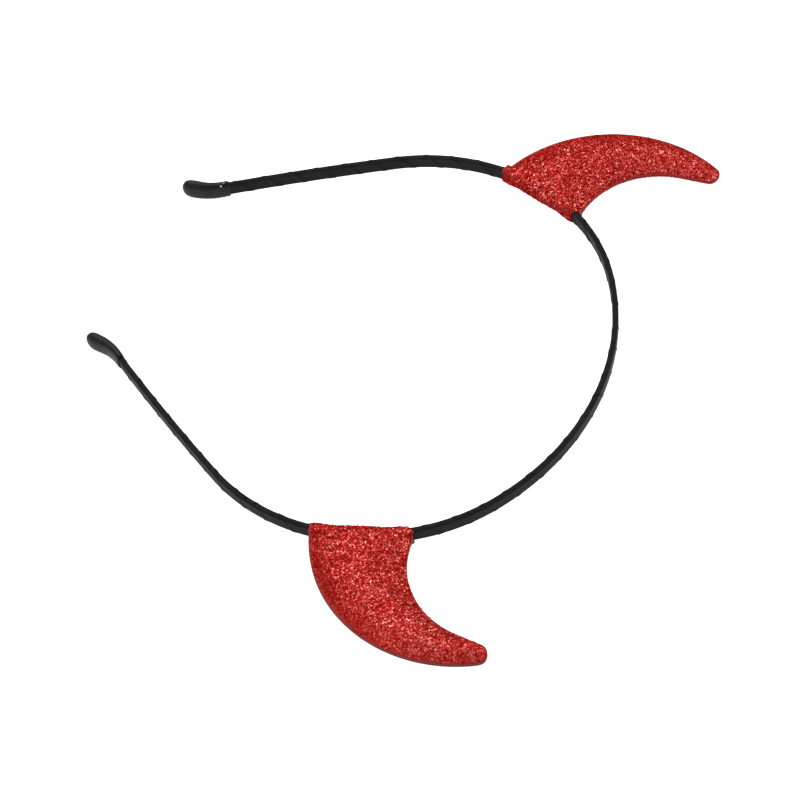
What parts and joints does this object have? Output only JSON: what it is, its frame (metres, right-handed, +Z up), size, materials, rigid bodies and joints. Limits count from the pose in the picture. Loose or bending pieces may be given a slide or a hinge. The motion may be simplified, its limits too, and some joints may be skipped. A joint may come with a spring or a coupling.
{
  "type": "horn headband",
  "caption": "Thin springy hoop headband wound with black ribbon, with a padded red glitter horn curling up from each shoulder and a moulded cap on each end.",
  "frame": {"origin": "on the surface that the headband lies on, below the middle of its bounding box", "axes": "+X towards the wearer's left, +Y towards the crown of the hoop and the horns' tips, +Z up out of the horns' front faces"},
  "size_m": [0.1802, 0.1392, 0.007],
  "materials": {
    "ribbon": "black satin ribbon wound round the hoop, soft sheen",
    "cap": "black moulded plastic, slightly glossy",
    "glitter_cloth": "red cloth covered with coarse sparkling glitter"
  },
  "bodies": {
    "root": {"band": "ribbon", "end_cap_left": "cap", "end_cap_right": "cap", "horn_left_front": "glitter_cloth", "horn_left_back": "glitter_cloth", "horn_right_front": "glitter_cloth", "horn_right_back": "glitter_cloth"}
  },
  "joints": []
}
